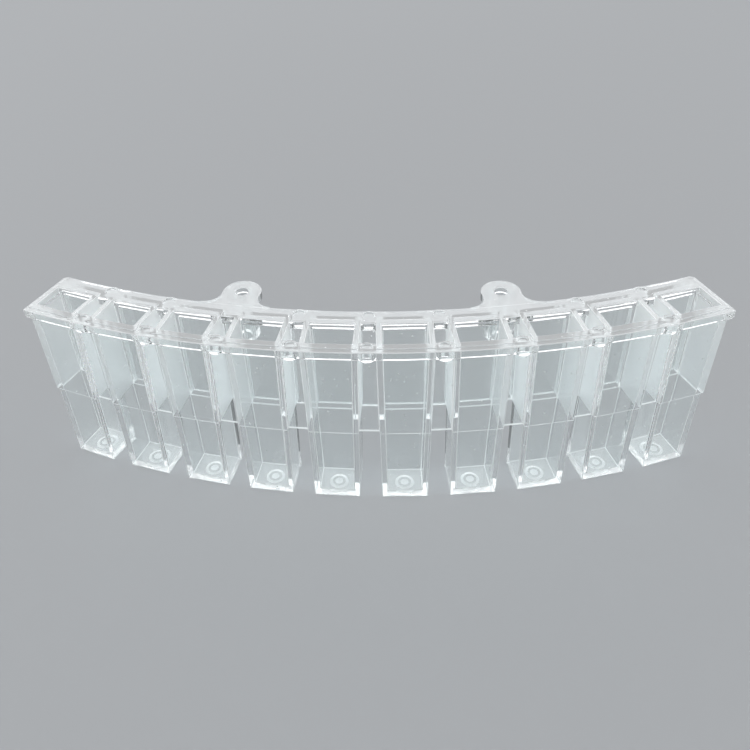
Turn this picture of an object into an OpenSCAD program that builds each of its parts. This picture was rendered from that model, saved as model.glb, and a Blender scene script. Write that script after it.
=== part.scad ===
// A curved segment of ten clear moulded cuvettes for a turning reaction disc.
// Millimetres, +Z up, standing on the feet of the wells. The mouths open upwards, the
// outer, convex side of the arc faces -Y, and the two screw ears reach inwards to +Y.

/* [Ring] */
// Number of wells in the segment
well_count = 10; // [6:1:16]
// Number of wells in the full ring, which sets the angle from well to well
wells_in_ring = 80; // [64:1:88]
// Radius of the circle through the centres of the wells
ring_r = 146.1; // [138:0.1:200]
// Height from the feet to the rim
height = 33; // [24:0.5:45]

/* [Wells] */
// Length of a well at its floor, along the radius: the light path
floor_len = 4.9; // [4:0.1:5.5]
// Length of a well at its mouth, along the radius
mouth_len = 5.2; // [4.8:0.1:6]
// Width of a well at its floor, along the arc
floor_w = 6.1; // [5:0.1:6.4]
// Width of a well at its mouth, along the arc
mouth_w = 7.2; // [6.6:0.1:7.6]
// Thickness of the side walls that face the gaps
side_wall = 0.85; // [0.6:0.05:1.1]
// Thickness of the two window walls at the foot
window_wall = 0.8; // [0.6:0.05:1.2]
// Thickness of the floor
floor_t = 1.1; // [0.8:0.1:3]
// Diameter of the shallow recess under each floor
gate_recess_d = 3.3; // [2.8:0.1:4]
// Width of the sloping wall round that recess
gate_slope = 0.5; // [0.2:0.05:0.6]
// Diameter of the low point that the gate leaves in the middle of the recess
gate_mark_d = 1.4; // [0.8:0.1:1.5]

/* [Collar] */
// Height from the feet to the step where the walls grow thicker
step_z = 15.3; // [10:0.1:20]
// Depth of the step on the inner and outer faces of the wells
step_depth = 0.3; // [0.2:0.05:0.5]
// Depth of the step on the two end faces of the segment
end_step_depth = 0.25; // [0.15:0.05:0.4]
// Thickness of the inner and outer walls at the rim
rim_wall = 1.15; // [1:0.05:1.5]
// Thickness of the two end walls at the rim
rim_end_wall = 0.95; // [0.9:0.05:1.2]
// Thickness of the outer webs that join one well to the next
outer_web_t = 0.65; // [0.5:0.05:1.1]
// How far the outer webs stand back from the faces of the feet
outer_web_inset = 0.25; // [0.05:0.05:0.3]

/* [Skirt] */
// Depth of the air slot between the inner wall of a well and the skirt behind it
slot_depth = 0.9; // [0.6:0.1:1.2]
// Width of the air slot along the arc
slot_w = 6.8; // [6:0.1:7]
// Thickness of the skirt
skirt_t = 0.85; // [0.7:0.05:1.1]
// Thickness of the inner webs that join one well to the next
inner_web_t = 0.85; // [0.6:0.05:1.1]
// How far the inner webs stand back from the face of the skirt
inner_web_inset = 1.25; // [0.8:0.05:1.5]
// How far the flange reaches past the inner webs over the gaps
gap_shelf = 0.6; // [0.3:0.1:1]

/* [Flange] */
// Thickness of the flange
flange_t = 1.5; // [1:0.1:3]
// How far the rims of the wells stand above the flange
rim_rise = 0.15; // [0.05:0.05:0.5]
// Overhang of the flange on the outer, convex side
outer_lip = 0.9; // [0.7:0.1:3]
// Overhang of the flange on the inner, concave side
inner_lip = 0.8; // [0.5:0.1:3]
// Overhang of the flange at the two ends
end_lip = 0.3; // [0.1:0.1:1.5]
// Bevel along the top of the inner edge
inner_bevel = 0.3; // [0.1:0.05:0.6]
// Cut across the two inner corners
corner_cut = 0.8; // [0.4:0.1:1.5]

/* [Ejector marks] */
// Diameter of the round ejector pads
pad_d = 2.6; // [2:0.1:3]
// Diameter of the shallow ejector mark in each pad
pad_mark_d = 1.9; // [1.2:0.1:1.9]
// Distance from a pad to the edge of the flange
pad_inset = 0.1; // [0.05:0.05:0.3]
// Depth of a pad below the underside of the flange
pad_drop = 0.5; // [0.2:0.1:2]
// Depth of the shallow marks on the pads and under the floors
mark_depth = 0.2; // [0.1:0.05:0.3]

/* [Ears] */
// Which gap each ear stands in line with, counted from the nearer end
ear_gap = 3; // [2:1:3]
// Distance from the edge of the flange to the middle of an ear
ear_reach = 3.7; // [3.5:0.1:6]
// Diameter of an ear
ear_d = 6.5; // [6:0.1:7.5]
// Radius of the fillets between an ear and the flange
ear_fillet = 2.6; // [2:0.1:4]
// Diameter of the screw boss under an ear
boss_d = 5.1; // [4:0.1:5.8]
// Length of the screw boss, from the top of the ear to its lower end
boss_len = 7.9; // [4:0.1:12]
// Diameter of the screw hole
screw_hole_d = 2.2; // [1.6:0.1:3.2]

/* [Hidden] */
$fn = 96;

// How far the cutting shapes reach past what they cut.
past = 1;

pitch = 360 / wells_in_ring;
end_angle = pitch * (well_count - 1) / 2;
ear_angle = pitch * (well_count / 2 - ear_gap);

// Half sizes of one well's outside, at the feet, at the step and at the rim.
foot_half_w = floor_w / 2 + side_wall;
rim_half_w = mouth_w / 2 + side_wall;
step_half_w = foot_half_w + (rim_half_w - foot_half_w) * step_z / height;
foot_half_len = floor_len / 2 + window_wall;
rim_half_len = mouth_len / 2 + rim_wall;
skirt_half_len = rim_half_len + slot_depth + skirt_t;
end_step_half_w = step_half_w + end_step_depth;
end_rim_half_w = mouth_w / 2 + rim_end_wall;

flange_top = height - rim_rise;
flange_bottom = flange_top - flange_t;
flange_middle = flange_bottom + flange_t / 2;

// Radii of the flange and of the webs between the wells.
flange_outer_r = ring_r + rim_half_len + outer_lip;
flange_inner_r = ring_r - skirt_half_len - inner_lip;
flange_half_end = end_rim_half_w + end_lip;
web_outer_r = ring_r + foot_half_len - outer_web_inset;
web_inner_r = ring_r - skirt_half_len + inner_web_inset;
channel_outer_r = web_outer_r - outer_web_t;
channel_inner_r = web_inner_r + inner_web_t;
opening_inner_r = channel_inner_r + gap_shelf;

// Radii of the circles that the ear and pad centres lie on.
ear_r = flange_inner_r - ear_reach;
outer_pad_r = flange_outer_r - pad_d / 2 - pad_inset;
inner_pad_r = flange_inner_r + pad_d / 2 + pad_inset;

// Where the corner cut meets the inner edge, along and across the end well's axis.
corner_across = flange_half_end - corner_cut;
corner_along = sqrt(flange_inner_r ^ 2 - corner_across ^ 2);

// The origin is the middle of the part's box, so the arc's centre lies far out on +Y.
corner_y = corner_across * sin(end_angle) - corner_along * cos(end_angle);
ear_y = ear_d / 2 - ear_r * cos(ear_angle);
centre_y = (flange_outer_r - max(corner_y, ear_y)) / 2;

// A point given by a well's angle, its distance out along that well's axis, and across it.
function on_axis(angle, along, across) =
    [along * sin(angle) + across * cos(angle), across * sin(angle) - along * cos(angle)];

// Stands its children on the axis at an angle and a radius, with +Y pointing to the centre.
module stand_at(angle, radius) {
    rotate([0, 0, angle])
        translate([0, -radius, 0])
            children();
}

// A band of the ring between two radii and two heights, up to an angle each side.
module ring_band(inner_r, outer_r, bottom, top, angle) {
    rotate_extrude(angle = 2 * angle, start = 270 - angle)
        translate([inner_r, bottom])
            square([outer_r - inner_r, top - bottom]);
}

// The space under an outline drawn across the arc and one drawn along the radius.
module crossed_outlines(across_points, along_points, reach) {
    intersection() {
        rotate([90, 0, 0])
            linear_extrude(height = reach, center = true)
                polygon(across_points);
        rotate([90, 0, 90])
            linear_extrude(height = reach, center = true)
                polygon(along_points);
    }
}

// The outline of a well's side at one end of the segment or in its middle, upwards from the feet.
function side_outline(at_end) =
    at_end
    ? [[foot_half_w, 0], [step_half_w, step_z], [end_step_half_w, step_z], [end_rim_half_w, height]]
    : [[foot_half_w, 0], [rim_half_w, height]];

// The same points on the other side, in the order that closes the outline.
function mirrored(points) =
    [for (i = [len(points) - 1 : -1 : 0]) [-points[i][0], points[i][1]]];

// The outside of one well: a foot with drafted sides under a thicker collar, which reaches
// inwards as far as the skirt.
module well_outside(left_end, right_end) {
    across = concat(side_outline(right_end), mirrored(side_outline(left_end)));
    inner = [
        [foot_half_len, 0],
        [foot_half_len, step_z],
        [skirt_half_len, step_z],
        [skirt_half_len, flange_middle],
        [rim_half_len, flange_middle],
        [rim_half_len, height]
    ];
    outer = [
        [foot_half_len, 0],
        [foot_half_len, step_z],
        [foot_half_len + step_depth, step_z],
        [rim_half_len, height]
    ];
    crossed_outlines(across, concat(inner, mirrored(outer)), 4 * rim_half_w);
}

// The cavity of one well, drafted on all four sides and open past the rim.
module well_cavity() {
    run = height - floor_t;
    top = height + past;
    wide = mouth_w / 2 + (mouth_w - floor_w) / 2 * past / run;
    long = mouth_len / 2 + (mouth_len - floor_len) / 2 * past / run;
    across = [[floor_w / 2, floor_t], [wide, top]];
    along = [[floor_len / 2, floor_t], [long, top]];
    crossed_outlines(concat(across, mirrored(across)), concat(along, mirrored(along)), 2 * mouth_w);
}

// The air slot between a well's drafted inner wall and the skirt, open at the bottom.
module skirt_slot() {
    back = rim_half_len + slot_depth;
    across = [[slot_w / 2, step_z - past], [slot_w / 2, flange_bottom]];
    along = [
        [foot_half_len + step_depth, step_z - past],
        [back, step_z - past],
        [back, flange_bottom],
        [rim_half_len, flange_bottom]
    ];
    crossed_outlines(concat(across, mirrored(across)), along, 2 * mouth_w);
}

// The shallow round recess under a floor, with a sloping wall. The point that the gate leaves
// in its middle reaches halfway down to the foot.
module gate_recess() {
    rotate_extrude()
        polygon([
            [0, -past],
            [gate_recess_d / 2, -past],
            [gate_recess_d / 2, 0],
            [gate_recess_d / 2 - gate_slope, mark_depth],
            [gate_mark_d / 2, mark_depth],
            [0, mark_depth / 2]
        ]);
}

// The flange, cut square to the end wells at its ends, with its two inner corners cut off.
module flange() {
    // The cut lines run on outwards until they have passed the middle of the outer edge.
    outer_along = flange_outer_r / cos(end_angle) + flange_half_end * tan(end_angle) + past;
    right = [
        on_axis(end_angle, corner_along - 2 * past, corner_across - 2 * past),
        on_axis(end_angle, corner_along + corner_cut, flange_half_end),
        on_axis(end_angle, outer_along, flange_half_end)
    ];
    intersection() {
        rotate_extrude(angle = 2 * end_angle + 2 * pitch, start = 270 - end_angle - pitch)
            polygon([
                [flange_inner_r, flange_bottom],
                [flange_outer_r, flange_bottom],
                [flange_outer_r, flange_top],
                [flange_inner_r + inner_bevel, flange_top],
                [flange_inner_r, flange_top - inner_bevel]
            ]);
        translate([0, 0, flange_bottom - past])
            linear_extrude(height = flange_t + 2 * past)
                polygon(concat(right, mirrored(right)));
    }
}

// The flange and the webs. The opening through the flange and the channel between the webs,
// which reaches a little further inwards, are what the wells stand in.
module rails() {
    difference() {
        union() {
            flange();
            ring_band(web_inner_r, web_outer_r, step_z, flange_middle, end_angle);
        }
        ring_band(opening_inner_r, channel_outer_r, step_z - past, height + past, end_angle);
        ring_band(channel_inner_r, opening_inner_r + past, step_z - past, flange_bottom, end_angle);
    }
}

// One flat ear with its screw boss, blended into the flange by two concave fillets.
module ear() {
    // The fillet circle touches the flange's edge from inside and the ear from outside.
    fillet_r = flange_inner_r - ear_fillet;
    ear_to_fillet = ear_d / 2 + ear_fillet;
    swing = acos((ear_r ^ 2 + fillet_r ^ 2 - ear_to_fillet ^ 2) / (2 * ear_r * fillet_r));
    fillet = [fillet_r * sin(swing), ear_r - fillet_r * cos(swing)];
    on_flange = fillet + ear_fillet * [sin(swing), -cos(swing)];
    on_ear = fillet * ear_d / 2 / ear_to_fillet;
    right = [[0, 0], on_ear, on_flange, on_flange - [0, past]];
    translate([0, 0, flange_bottom]) {
        cylinder(h = flange_t, d = ear_d);
        difference() {
            linear_extrude(height = flange_t)
                polygon(concat(right, mirrored([right[1], right[2], right[3]])));
            for (side = [-1, 1])
                translate([side * fillet[0], fillet[1], -past])
                    cylinder(h = flange_t + 2 * past, r = ear_fillet);
        }
    }
    translate([0, 0, flange_top - boss_len])
        cylinder(h = boss_len, d = boss_d);
}

module screw_hole() {
    translate([0, 0, flange_top - boss_len - past])
        cylinder(h = boss_len + 2 * past, d = screw_hole_d);
}

// A round pad that the mould's ejector pin pushes on.
module ejector_pad() {
    translate([0, 0, flange_bottom - pad_drop])
        cylinder(h = flange_t + pad_drop, d = pad_d);
}

module ejector_mark() {
    translate([0, 0, flange_top - mark_depth])
        cylinder(h = mark_depth + past, d = pad_mark_d);
}

// Places its children on the pads: one in line with each gap, on both edges of the flange,
// but not on the inner edge where an ear stands.
module at_each_pad() {
    for (i = [1 : well_count - 1]) {
        stand_at((i - well_count / 2) * pitch, outer_pad_r)
            children();
        if (i != ear_gap && i != well_count - ear_gap)
            stand_at((i - well_count / 2) * pitch, inner_pad_r)
                children();
    }
}

module at_each_well() {
    for (i = [0 : well_count - 1])
        stand_at(i * pitch - end_angle, ring_r)
            children();
}

// The whole segment, moulded as one piece of clear plastic.
module cuvette_segment() {
    color([0.86, 0.92, 0.94, 0.6])
        translate([0, centre_y, 0])
            difference() {
                union() {
                    rails();
                    for (i = [0 : well_count - 1])
                        stand_at(i * pitch - end_angle, ring_r)
                            well_outside(i == 0, i == well_count - 1);
                    for (side = [-1, 1])
                        stand_at(side * ear_angle, ear_r)
                            ear();
                    at_each_pad()
                        ejector_pad();
                }
                at_each_well() {
                    well_cavity();
                    skirt_slot();
                    gate_recess();
                }
                for (side = [-1, 1])
                    stand_at(side * ear_angle, ear_r)
                        screw_hole();
                at_each_pad()
                    ejector_mark();
            }
}

cuvette_segment();
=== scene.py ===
# The look of a clear moulded segment of cuvettes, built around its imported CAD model.
# Metres, +Z up, in the CAD frame: the feet stand at Z = 0 and the convex side faces -Y.

import math

import bmesh
import bpy
from mathutils import Matrix, Vector


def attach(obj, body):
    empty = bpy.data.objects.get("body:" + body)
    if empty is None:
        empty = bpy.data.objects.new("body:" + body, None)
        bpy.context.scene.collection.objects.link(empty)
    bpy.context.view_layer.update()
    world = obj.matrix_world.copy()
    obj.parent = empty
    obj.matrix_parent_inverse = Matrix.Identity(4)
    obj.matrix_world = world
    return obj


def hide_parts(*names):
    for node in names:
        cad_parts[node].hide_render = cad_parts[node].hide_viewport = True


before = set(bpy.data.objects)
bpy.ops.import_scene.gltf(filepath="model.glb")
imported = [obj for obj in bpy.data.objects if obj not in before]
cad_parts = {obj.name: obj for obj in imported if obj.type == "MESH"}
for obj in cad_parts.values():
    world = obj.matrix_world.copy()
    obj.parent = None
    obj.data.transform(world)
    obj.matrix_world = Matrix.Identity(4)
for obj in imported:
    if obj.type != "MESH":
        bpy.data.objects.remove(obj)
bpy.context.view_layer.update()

MM = 0.001

# The wells lie on an arc round a point far out on +Y.
WELLS = 10
PITCH = math.radians(4.5)
END_ANGLE = PITCH * (WELLS - 1) / 2
ARC_CENTRE_Y = 140.226 * MM
ARC_CENTRE = Vector((0.0, ARC_CENTRE_Y, 0.0))

# Heights above the feet: where the walls grow thicker, the flange's top, and the space under
# the floors that holds the marks of the gates.
STEP_Z = 15.3 * MM
FLANGE_TOP = 32.85 * MM
GATE_DEPTH = 0.3 * MM

# A well's outer sides lie further than this from its middle, and its inner sides lie nearer.
OUTSIDE = 3.8 * MM

# Radii of the walls that curve round the arc's centre.
FLANGE_EDGES = (139.8 * MM, 150.75 * MM)
FLANGE_OPENING = 143.3 * MM
INNER_WEB = (141.85 * MM, 142.7 * MM)
OUTER_WEB = (148.45 * MM, 149.1 * MM)
RING_RADII = (*FLANGE_EDGES, FLANGE_OPENING, *INNER_WEB, *OUTER_WEB)

# How far a point may lie from a radius or from a height and still count as being on it.
RADIUS_SLACK = 0.02 * MM
TOP_SLACK = 0.01 * MM
STEP_SLACK = 0.2 * MM

# Radius and number of segments of the rounding that a mould leaves on sharp edges.
EDGE_RADIUS = 0.12 * MM
EDGE_SEGMENTS = 2

# An edge gets the full rounding if it and the edges that it meets are longer than ROOMY, and
# none if one of them is shorter than TINY. Between these it gets a share. So does the foot of
# the rims, which stand only a little above the flange.
ROOMY = 0.5 * MM
TINY = 0.08 * MM
CRAMPED_SHARE = 0.35
RIM_FOOT_SHARE = 0.2

# Angles between faces: under FLAT they are one face, over BENT they meet in an edge, over
# CREASED that edge is shaded sharp, and over SHARP it is rounded.
FLAT = math.radians(0.4)
BENT = math.radians(5)
CREASED = math.radians(20)
SHARP = math.radians(35)

# The upward part of a face's direction, which is 1 on a level top and -1 on a level underside:
# within UPRIGHT of nought it is a wall, over LEVEL_TOP it is a top, and an underside of a foot
# is level from LEVEL_FOOT on.
UPRIGHT = 0.1
LEVEL_TOP = 0.9
LEVEL_FOOT = 0.995

# A side of a well points along the arc by at least this share of its direction.
ALONG_ARC = 0.97

# Points nearer to each other than this are one point.
WELD = 0.0001 * MM

# A face larger than this is shaded flat. Strips of the curved walls can be larger too: they
# are shaded as parts of their arc afterwards.
FLAT_AREA = 2 * MM * MM

# The segment's finishes, from the clearest: the windows, the sides below the step, the tops
# and the level undersides of the feet, the sides of the collar, and last a matt white on the
# rounded edges, the step's ledge and the slopes of the gates' marks. On the edges it is a painted
# highlight and on the ledge a painted reflection, standing in for light caught inside the plastic.
POLISHED, SMOOTH, SATIN, FROSTED, MATT_AND_PAINTED_HIGHLIGHT = range(5)

# In the same order: name, least roughness, how much that varies, clearness, and the scale and
# depth of the grain.
FINISHES = (
    ("clear_plastic", 0.0, 0.03, 0.98, 700.0, 0.002 * MM),
    ("smooth_plastic", 0.04, 0.08, 0.87, 2000.0, 0.002 * MM),
    ("satin_plastic", 0.12, 0.04, 0.58, 2000.0, 0.001 * MM),
    ("frosted_plastic", 0.4, 0.15, 0.46, 4000.0, 0.01 * MM),
    # Matt white: a painted highlight on the rounded edges and a painted reflection on the step's
    # ledge. On the gates' marks it is their own matt.
    ("matt_and_painted_highlight_plastic", 0.15, 0.1, 0.15, 2000.0, 0.001 * MM),
)
PLASTIC_COLOUR = (0.97, 0.99, 0.99, 1.0)
PLASTIC_SHADOW = (0.965, 0.975, 0.98, 1.0)
REFRACTION = 1.57

# The moulded faces are very slightly wavy and have a fine grain.
WAVE_SCALE = 110.0
WAVE_STRENGTH = 0.02
WAVE_DEPTH = 0.4 * MM
GRAIN_STRENGTH = 0.5

# Specks of dust: how clear the plastic is under one, how far apart their places are, and the
# distances from the middle of one where it begins to fade and where it ends.
DUSTY = 0.1
SPECK_SPACING = 2 * MM
SPECK_CORE = 0.1 * MM
SPECK_EDGE = 0.15 * MM

# The floor lies a little below the feet, so that no two faces share a plane.
FLOOR_Z = -0.05 * MM
FLOOR_SIZE = 4.0
FLOOR_COLOUR = (0.43, 0.44, 0.45, 1.0)

# The point that the lamps are aimed at, about the middle of the segment.
MIDDLE = Vector((0.0, 0.0, 0.015))
SKY_COLOUR = (0.95, 0.97, 1.0, 1.0)
SKY_STRENGTH = 0.58

# Light passes many clear walls one behind another.
BOUNCES = 32


# ---------------------------------------------------------------- materials


class Nodes:
    """A short way to build one material's node tree."""

    def __init__(self, name):
        self.material = bpy.data.materials.new(name)
        self.material.use_nodes = True
        self.tree = self.material.node_tree
        self.tree.nodes.clear()

    def add(self, kind, inputs=None):
        """Adds a node. Each input gets a fixed value, or a link to another node's output."""
        node = self.tree.nodes.new(kind)
        for key, value in (inputs or {}).items():
            if isinstance(value, bpy.types.NodeSocket):
                self.tree.links.new(value, node.inputs[key])
            else:
                node.inputs[key].default_value = value
        return node


def place_on_object(nodes):
    return nodes.add("ShaderNodeTexCoord").outputs["Object"]


def noise(nodes, scale, detail):
    texture = nodes.add(
        "ShaderNodeTexNoise",
        {"Vector": place_on_object(nodes), "Scale": scale, "Detail": detail},
    )
    return texture.outputs["Fac"]


def bump(nodes, height, strength, depth, normal=None):
    """A normal that is tilted by a height, on top of another normal if one is given."""
    inputs = {"Height": height, "Strength": strength, "Distance": depth}
    if normal is not None:
        inputs["Normal"] = normal
    return nodes.add("ShaderNodeBump", inputs).outputs["Normal"]


def spread(nodes, value, low, high):
    """A value between nought and one, spread between two others."""
    mapped = nodes.add("ShaderNodeMapRange", {"Value": value, "To Min": low, "To Max": high})
    return mapped.outputs["Result"]


def speckled(nodes, clean, dusty):
    """The clean value, and the dusty one on the few specks that lie on the plastic."""
    specks = nodes.add(
        "ShaderNodeTexVoronoi",
        {"Vector": place_on_object(nodes), "Scale": 1 / SPECK_SPACING},
    )
    mapped = nodes.add(
        "ShaderNodeMapRange",
        {
            "Value": specks.outputs["Distance"],
            "From Min": SPECK_CORE / SPECK_SPACING,
            "From Max": SPECK_EDGE / SPECK_SPACING,
            "To Min": dusty,
            "To Max": clean,
        },
    )
    return mapped.outputs["Result"]


def moulded_plastic(name, roughness, roughness_spread, clearness, grain_scale, grain_depth):
    """Clear plastic. Lamps shine through it, so its shadow stays light."""
    nodes = Nodes(name)
    grain = noise(nodes, grain_scale, detail=3.0)
    wave = noise(nodes, WAVE_SCALE, detail=1.0)
    wavy = bump(nodes, wave, WAVE_STRENGTH, WAVE_DEPTH)
    plastic = nodes.add(
        "ShaderNodeBsdfPrincipled",
        {
            "Base Color": PLASTIC_COLOUR,
            "Roughness": spread(nodes, grain, roughness, roughness + roughness_spread),
            "IOR": REFRACTION,
            "Transmission Weight": speckled(nodes, clearness, DUSTY),
            "Normal": bump(nodes, grain, GRAIN_STRENGTH, grain_depth, wavy),
        },
    )
    clear = nodes.add("ShaderNodeBsdfTransparent", {"Color": PLASTIC_SHADOW})
    ray = nodes.add("ShaderNodeLightPath")
    # Inputs of the mix: its share, the usual shader, and the one for shadows.
    mixed = nodes.add(
        "ShaderNodeMixShader",
        {0: ray.outputs["Is Shadow Ray"], 1: plastic.outputs["BSDF"], 2: clear.outputs["BSDF"]},
    )
    nodes.add("ShaderNodeOutputMaterial", {"Surface": mixed.outputs["Shader"]})
    return nodes.material


def paper(name, colour):
    nodes = Nodes(name)
    fibres = noise(nodes, scale=900.0, detail=4.0)
    matte = nodes.add(
        "ShaderNodeBsdfPrincipled",
        {
            "Base Color": colour,
            "Roughness": 0.85,
            "Normal": bump(nodes, fibres, strength=0.1, depth=0.1 * MM),
        },
    )
    nodes.add("ShaderNodeOutputMaterial", {"Surface": matte.outputs["BSDF"]})
    return nodes.material


# ---------------------------------------------------------------- the segment


def bends(edge, angle):
    """Whether the two faces at an edge meet at more than an angle."""
    return edge.is_manifold and edge.calc_face_angle() > angle


def bevel_share(edge):
    """How much of the full rounding an edge gets."""
    if not bends(edge, SHARP):
        return 0.0
    around = [near for vert in edge.verts for near in vert.link_edges if bends(near, BENT)]
    shortest = min(near.calc_length() for near in around)
    if shortest < TINY:
        return 0.0
    height = (edge.verts[0].co.z + edge.verts[1].co.z) / 2
    if abs(height - FLANGE_TOP) < TOP_SLACK and not edge.is_convex:
        return RIM_FOOT_SHARE
    return 1.0 if shortest > ROOMY else CRAMPED_SHARE


def edit(mesh, change):
    """Makes a change to a mesh in its editable form."""
    bm = bmesh.new()
    bm.from_mesh(mesh)
    change(bm)
    bm.to_mesh(mesh)
    bm.free()


def weld(bm):
    bmesh.ops.remove_doubles(bm, verts=bm.verts, dist=WELD)


def mark_rounding(bm):
    """Joins the triangles of flat faces, and notes on each edge how much it is rounded."""
    weld(bm)
    bmesh.ops.dissolve_limit(bm, angle_limit=FLAT, verts=bm.verts, edges=bm.edges)
    # Only triangles and four-sided faces take the rounding well.
    polygons = [face for face in bm.faces if len(face.verts) > 4]
    bmesh.ops.triangulate(bm, faces=polygons, ngon_method="BEAUTY")
    shares = bm.edges.layers.float.new("bevel_weight_edge")
    for edge in bm.edges:
        edge[shares] = bevel_share(edge)
    for face in bm.faces:
        face.smooth = True
        face.material_index = POLISHED


def bevelled(mesh):
    """A copy of a mesh with its edges rounded by their shares."""
    raw = bpy.data.objects.new("raw_segment", mesh)
    bpy.context.scene.collection.objects.link(raw)
    bevel = raw.modifiers.new("rounding", "BEVEL")
    bevel.width = EDGE_RADIUS
    bevel.segments = EDGE_SEGMENTS
    bevel.limit_method = "WEIGHT"
    # Clamping would thin every edge because of the shortest one. The shares see to that.
    bevel.use_clamp_overlap = False
    bevel.loop_slide = False
    # The rounding is matt white, a painted highlight along every edge.
    bevel.material = MATT_AND_PAINTED_HIGHLIGHT
    depsgraph = bpy.context.evaluated_depsgraph_get()
    copy = bpy.data.meshes.new_from_object(raw.evaluated_get(depsgraph))
    bpy.data.objects.remove(raw)
    return copy


def is_curved_wall(face, spokes):
    """Whether a face is part of a wall round the arc's centre. Spokes run from there to its points."""
    lengths = [spoke.to_2d().length for spoke in spokes]
    on_ring = any(
        max(abs(radius - length) for length in lengths) < RADIUS_SLACK for radius in RING_RADII
    )
    return on_ring and abs(face.normal.z) <= UPRIGHT


def set_normals(mesh):
    """Shades flat faces flat, and curved walls as true arcs though they are made of strips."""
    mesh.set_sharp_from_angle(angle=CREASED)
    for face in mesh.polygons:
        if face.area > FLAT_AREA:
            for loop in face.loop_indices:
                mesh.edges[mesh.loops[loop].edge_index].use_edge_sharp = True
    normals = [Vector(normal.vector) for normal in mesh.corner_normals]
    for face in mesh.polygons:
        spokes = [mesh.vertices[i].co - ARC_CENTRE for i in face.vertices]
        if is_curved_wall(face, spokes):
            for loop, spoke in zip(face.loop_indices, spokes):
                radial = Vector((spoke.x, spoke.y, 0.0)).normalized()
                normals[loop] = radial if radial.dot(face.normal) > 0 else -radial
    mesh.normals_split_custom_set(normals)


def rounded_mesh(source, materials):
    """A copy of a CAD mesh with its sharp edges slightly rounded, as a mould leaves them."""
    mesh = source.data.copy()
    mesh.materials.clear()
    for material in materials:
        mesh.materials.append(material)
    edit(mesh, mark_rounding)
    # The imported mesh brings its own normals, which don't fit the rounded one.
    mesh.attributes.remove(mesh.attributes["custom_normal"])
    rounded = bevelled(mesh)
    # Where edges meet, the rounding leaves a few points on top of each other.
    edit(rounded, weld)
    set_normals(rounded)
    return rounded


def across_well(point):
    """How far a point lies from the middle of its well along the arc, and that direction."""
    angle = math.atan2(point.x, ARC_CENTRE_Y - point.y)
    number = min(WELLS - 1, max(0, round((angle + END_ANGLE) / PITCH)))
    axis = number * PITCH - END_ANGLE
    direction = Vector((math.cos(axis), math.sin(axis), 0.0))
    return (point - ARC_CENTRE).dot(direction), direction


def finish_of(face):
    """Which finish a face gets. Rounded edges come with theirs, the matt white of a painted highlight.
    """
    height = face.center.z
    upwards = face.normal.z
    if height < GATE_DEPTH and face.material_index != MATT_AND_PAINTED_HIGHLIGHT:
        return SATIN if abs(upwards) >= LEVEL_FOOT else MATT_AND_PAINTED_HIGHLIGHT
    # The step's ledge is matt white, a painted reflection of the bright light it mirrors inside the
    # plastic.
    if height > STEP_Z - STEP_SLACK and upwards < -UPRIGHT:
        return MATT_AND_PAINTED_HIGHLIGHT if height < STEP_Z + STEP_SLACK else POLISHED
    if face.material_index == MATT_AND_PAINTED_HIGHLIGHT:
        return MATT_AND_PAINTED_HIGHLIGHT
    if height > STEP_Z and upwards > LEVEL_TOP:
        return SATIN
    offset, direction = across_well(face.center)
    if abs(face.normal.dot(direction)) < ALONG_ARC or abs(offset) < OUTSIDE:
        return POLISHED
    return FROSTED if height > STEP_Z else SMOOTH


def moulded_segment(node, materials):
    """The segment: windows polished, collar sides matt, edges and ledges painted white highlights."""
    mesh = rounded_mesh(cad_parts[node], materials)
    mesh.name = "clear_segment"
    for face in mesh.polygons:
        face.material_index = finish_of(face)
    piece = bpy.data.objects.new("clear_segment", mesh)
    bpy.context.scene.collection.objects.link(piece)
    return piece


finishes = [moulded_plastic(*finish) for finish in FINISHES]
segment = moulded_segment("cuvette_segment", finishes)
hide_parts("cuvette_segment")
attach(segment, "root")


# ---------------------------------------------------------------- the studio


def floor(size, height, colour):
    """A square sheet of paper under the part."""
    mesh = bpy.data.meshes.new("floor")
    half = size / 2
    corners = [(x * half, y * half, height) for x, y in ((-1, -1), (1, -1), (1, 1), (-1, 1))]
    mesh.from_pydata(corners, [], [(0, 1, 2, 3)])
    mesh.materials.append(paper("floor_paper", colour))
    sheet = bpy.data.objects.new("floor", mesh)
    bpy.context.scene.collection.objects.link(sheet)
    return sheet


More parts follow.
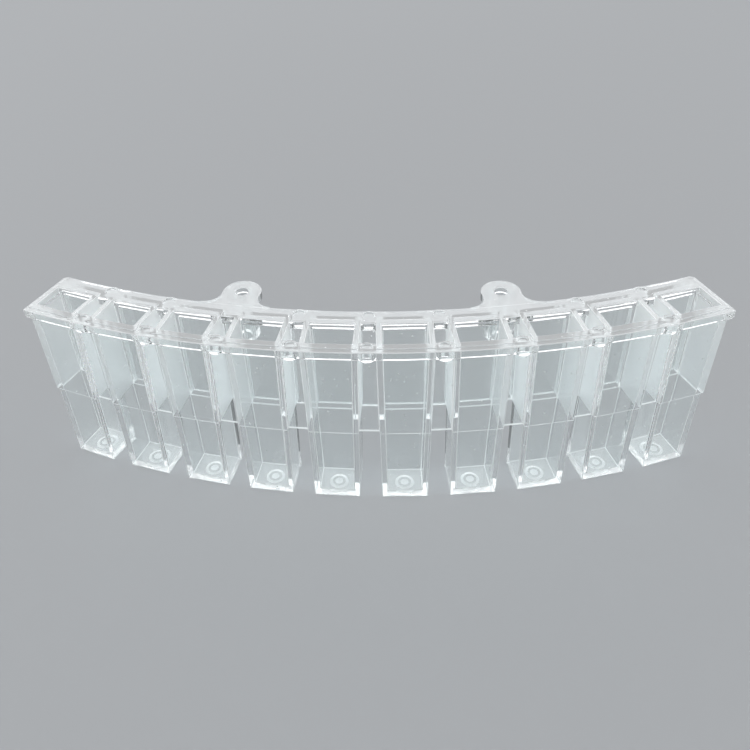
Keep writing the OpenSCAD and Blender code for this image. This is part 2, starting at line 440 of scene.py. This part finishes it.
def softbox(name, place, width, height, power):
    """A rectangular lamp aimed at the middle of the segment."""
    light = bpy.data.lights.new(name, "AREA")
    light.shape = "RECTANGLE"
    light.size = width
    light.size_y = height
    light.energy = power
    lamp = bpy.data.objects.new(name, light)
    lamp.location = place
    lamp.rotation_euler = (MIDDLE - Vector(place)).to_track_quat("-Z", "Y").to_euler()
    bpy.context.scene.collection.objects.link(lamp)


def sky(colour, strength):
    """Even light from all round."""
    world = bpy.data.worlds.new("world")
    bpy.context.scene.world = world
    world.use_nodes = True
    background = world.node_tree.nodes["Background"]
    background.inputs["Color"].default_value = colour
    background.inputs["Strength"].default_value = strength


def camera(place, pitch, yaw, roll, lens, shift):
    """A camera turned down by pitch, then turned by yaw about the vertical and rolled."""
    forward = Vector(
        (math.sin(yaw) * math.cos(pitch), math.cos(yaw) * math.cos(pitch), -math.sin(pitch))
    )
    right = Vector((math.cos(yaw), -math.sin(yaw), 0.0))
    up = right.cross(forward)
    across = right * math.cos(roll) + up * math.sin(roll)
    above = up * math.cos(roll) - right * math.sin(roll)
    optics = bpy.data.cameras.new("camera")
    optics.lens = lens
    optics.sensor_width = 36.0
    optics.shift_x, optics.shift_y = shift
    optics.clip_start = 5 * MM
    viewer = bpy.data.objects.new("camera", optics)
    turn = Matrix((across, above, -forward)).transposed().to_4x4()
    viewer.matrix_world = Matrix.Translation(place) @ turn
    bpy.context.scene.collection.objects.link(viewer)
    bpy.context.scene.camera = viewer


floor(FLOOR_SIZE, FLOOR_Z, FLOOR_COLOUR)

softbox("back", (-0.05, 0.66, 0.5), width=1.2, height=0.5, power=2.2)
softbox("left", (-0.58, -0.12, 0.24), width=0.4, height=0.4, power=1.4)
softbox("right", (0.58, -0.12, 0.24), width=0.4, height=0.4, power=1.2)
sky(SKY_COLOUR, SKY_STRENGTH)

camera(
    place=Vector((5.27 * MM, ARC_CENTRE_Y - 242.25 * MM, 105.4 * MM)),
    pitch=math.radians(36.55),
    yaw=math.radians(-4.7),
    roll=math.radians(-2.64),
    lens=37.95,
    shift=(0.0333, -0.0615),
)
scene = bpy.context.scene
scene.view_settings.view_transform = "Standard"
scene.cycles.max_bounces = BOUNCES
scene.cycles.transmission_bounces = BOUNCES
scene.cycles.transparent_max_bounces = BOUNCES
